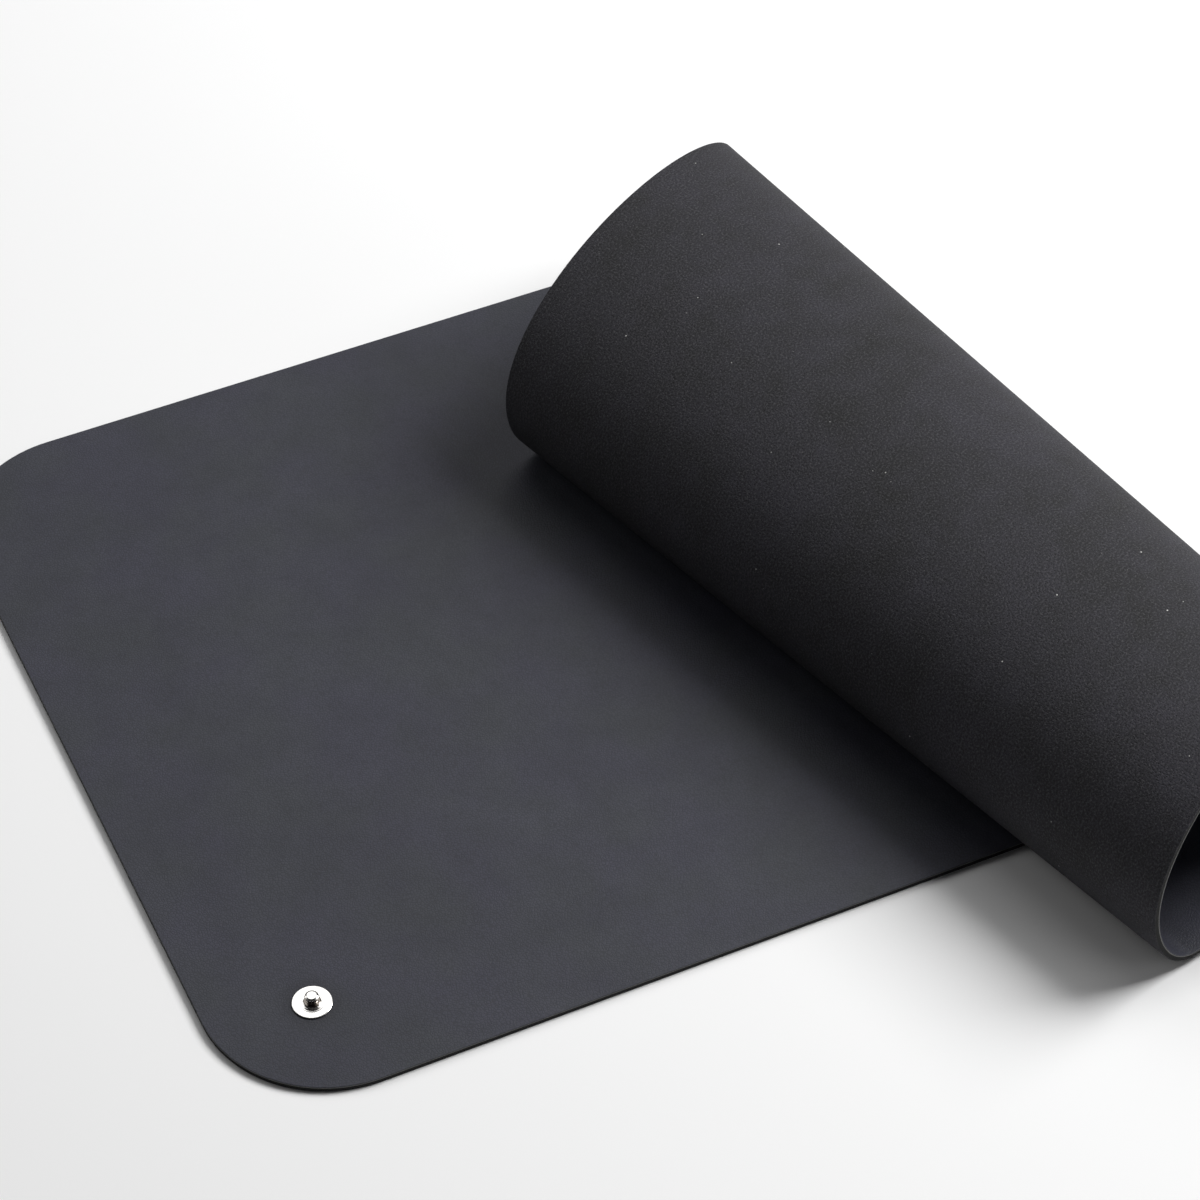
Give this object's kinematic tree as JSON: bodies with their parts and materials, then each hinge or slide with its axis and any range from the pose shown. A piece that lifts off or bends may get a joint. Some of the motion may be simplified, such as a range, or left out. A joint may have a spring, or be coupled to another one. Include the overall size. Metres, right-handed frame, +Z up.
{
  "type": "earthing mat",
  "caption": "Flat earthing mat with rounded corners and a bonded rubber underside, half of it loosely rolled up, with a snap stud in one corner for the earth lead.",
  "frame": {"origin": "centre of the bounding box, on the floor the mat lies on", "axes": "+X along the mat from its free flat end towards the roll, +Y across the mat away from the stud's long edge, +Z up"},
  "size_m": [0.328, 0.3276, 0.0652],
  "materials": {
    "backing": "matt, finely speckled",
    "face": "soft satin with a fine leather grain",
    "stud": "bright nickel plate",
    "rivet": "nickel plate"
  },
  "bodies": {
    "root": {"rubber_backing": "backing", "leatherette_face": "face", "snap_stud": "stud", "snap_rivet": "rivet"}
  },
  "joints": []
}
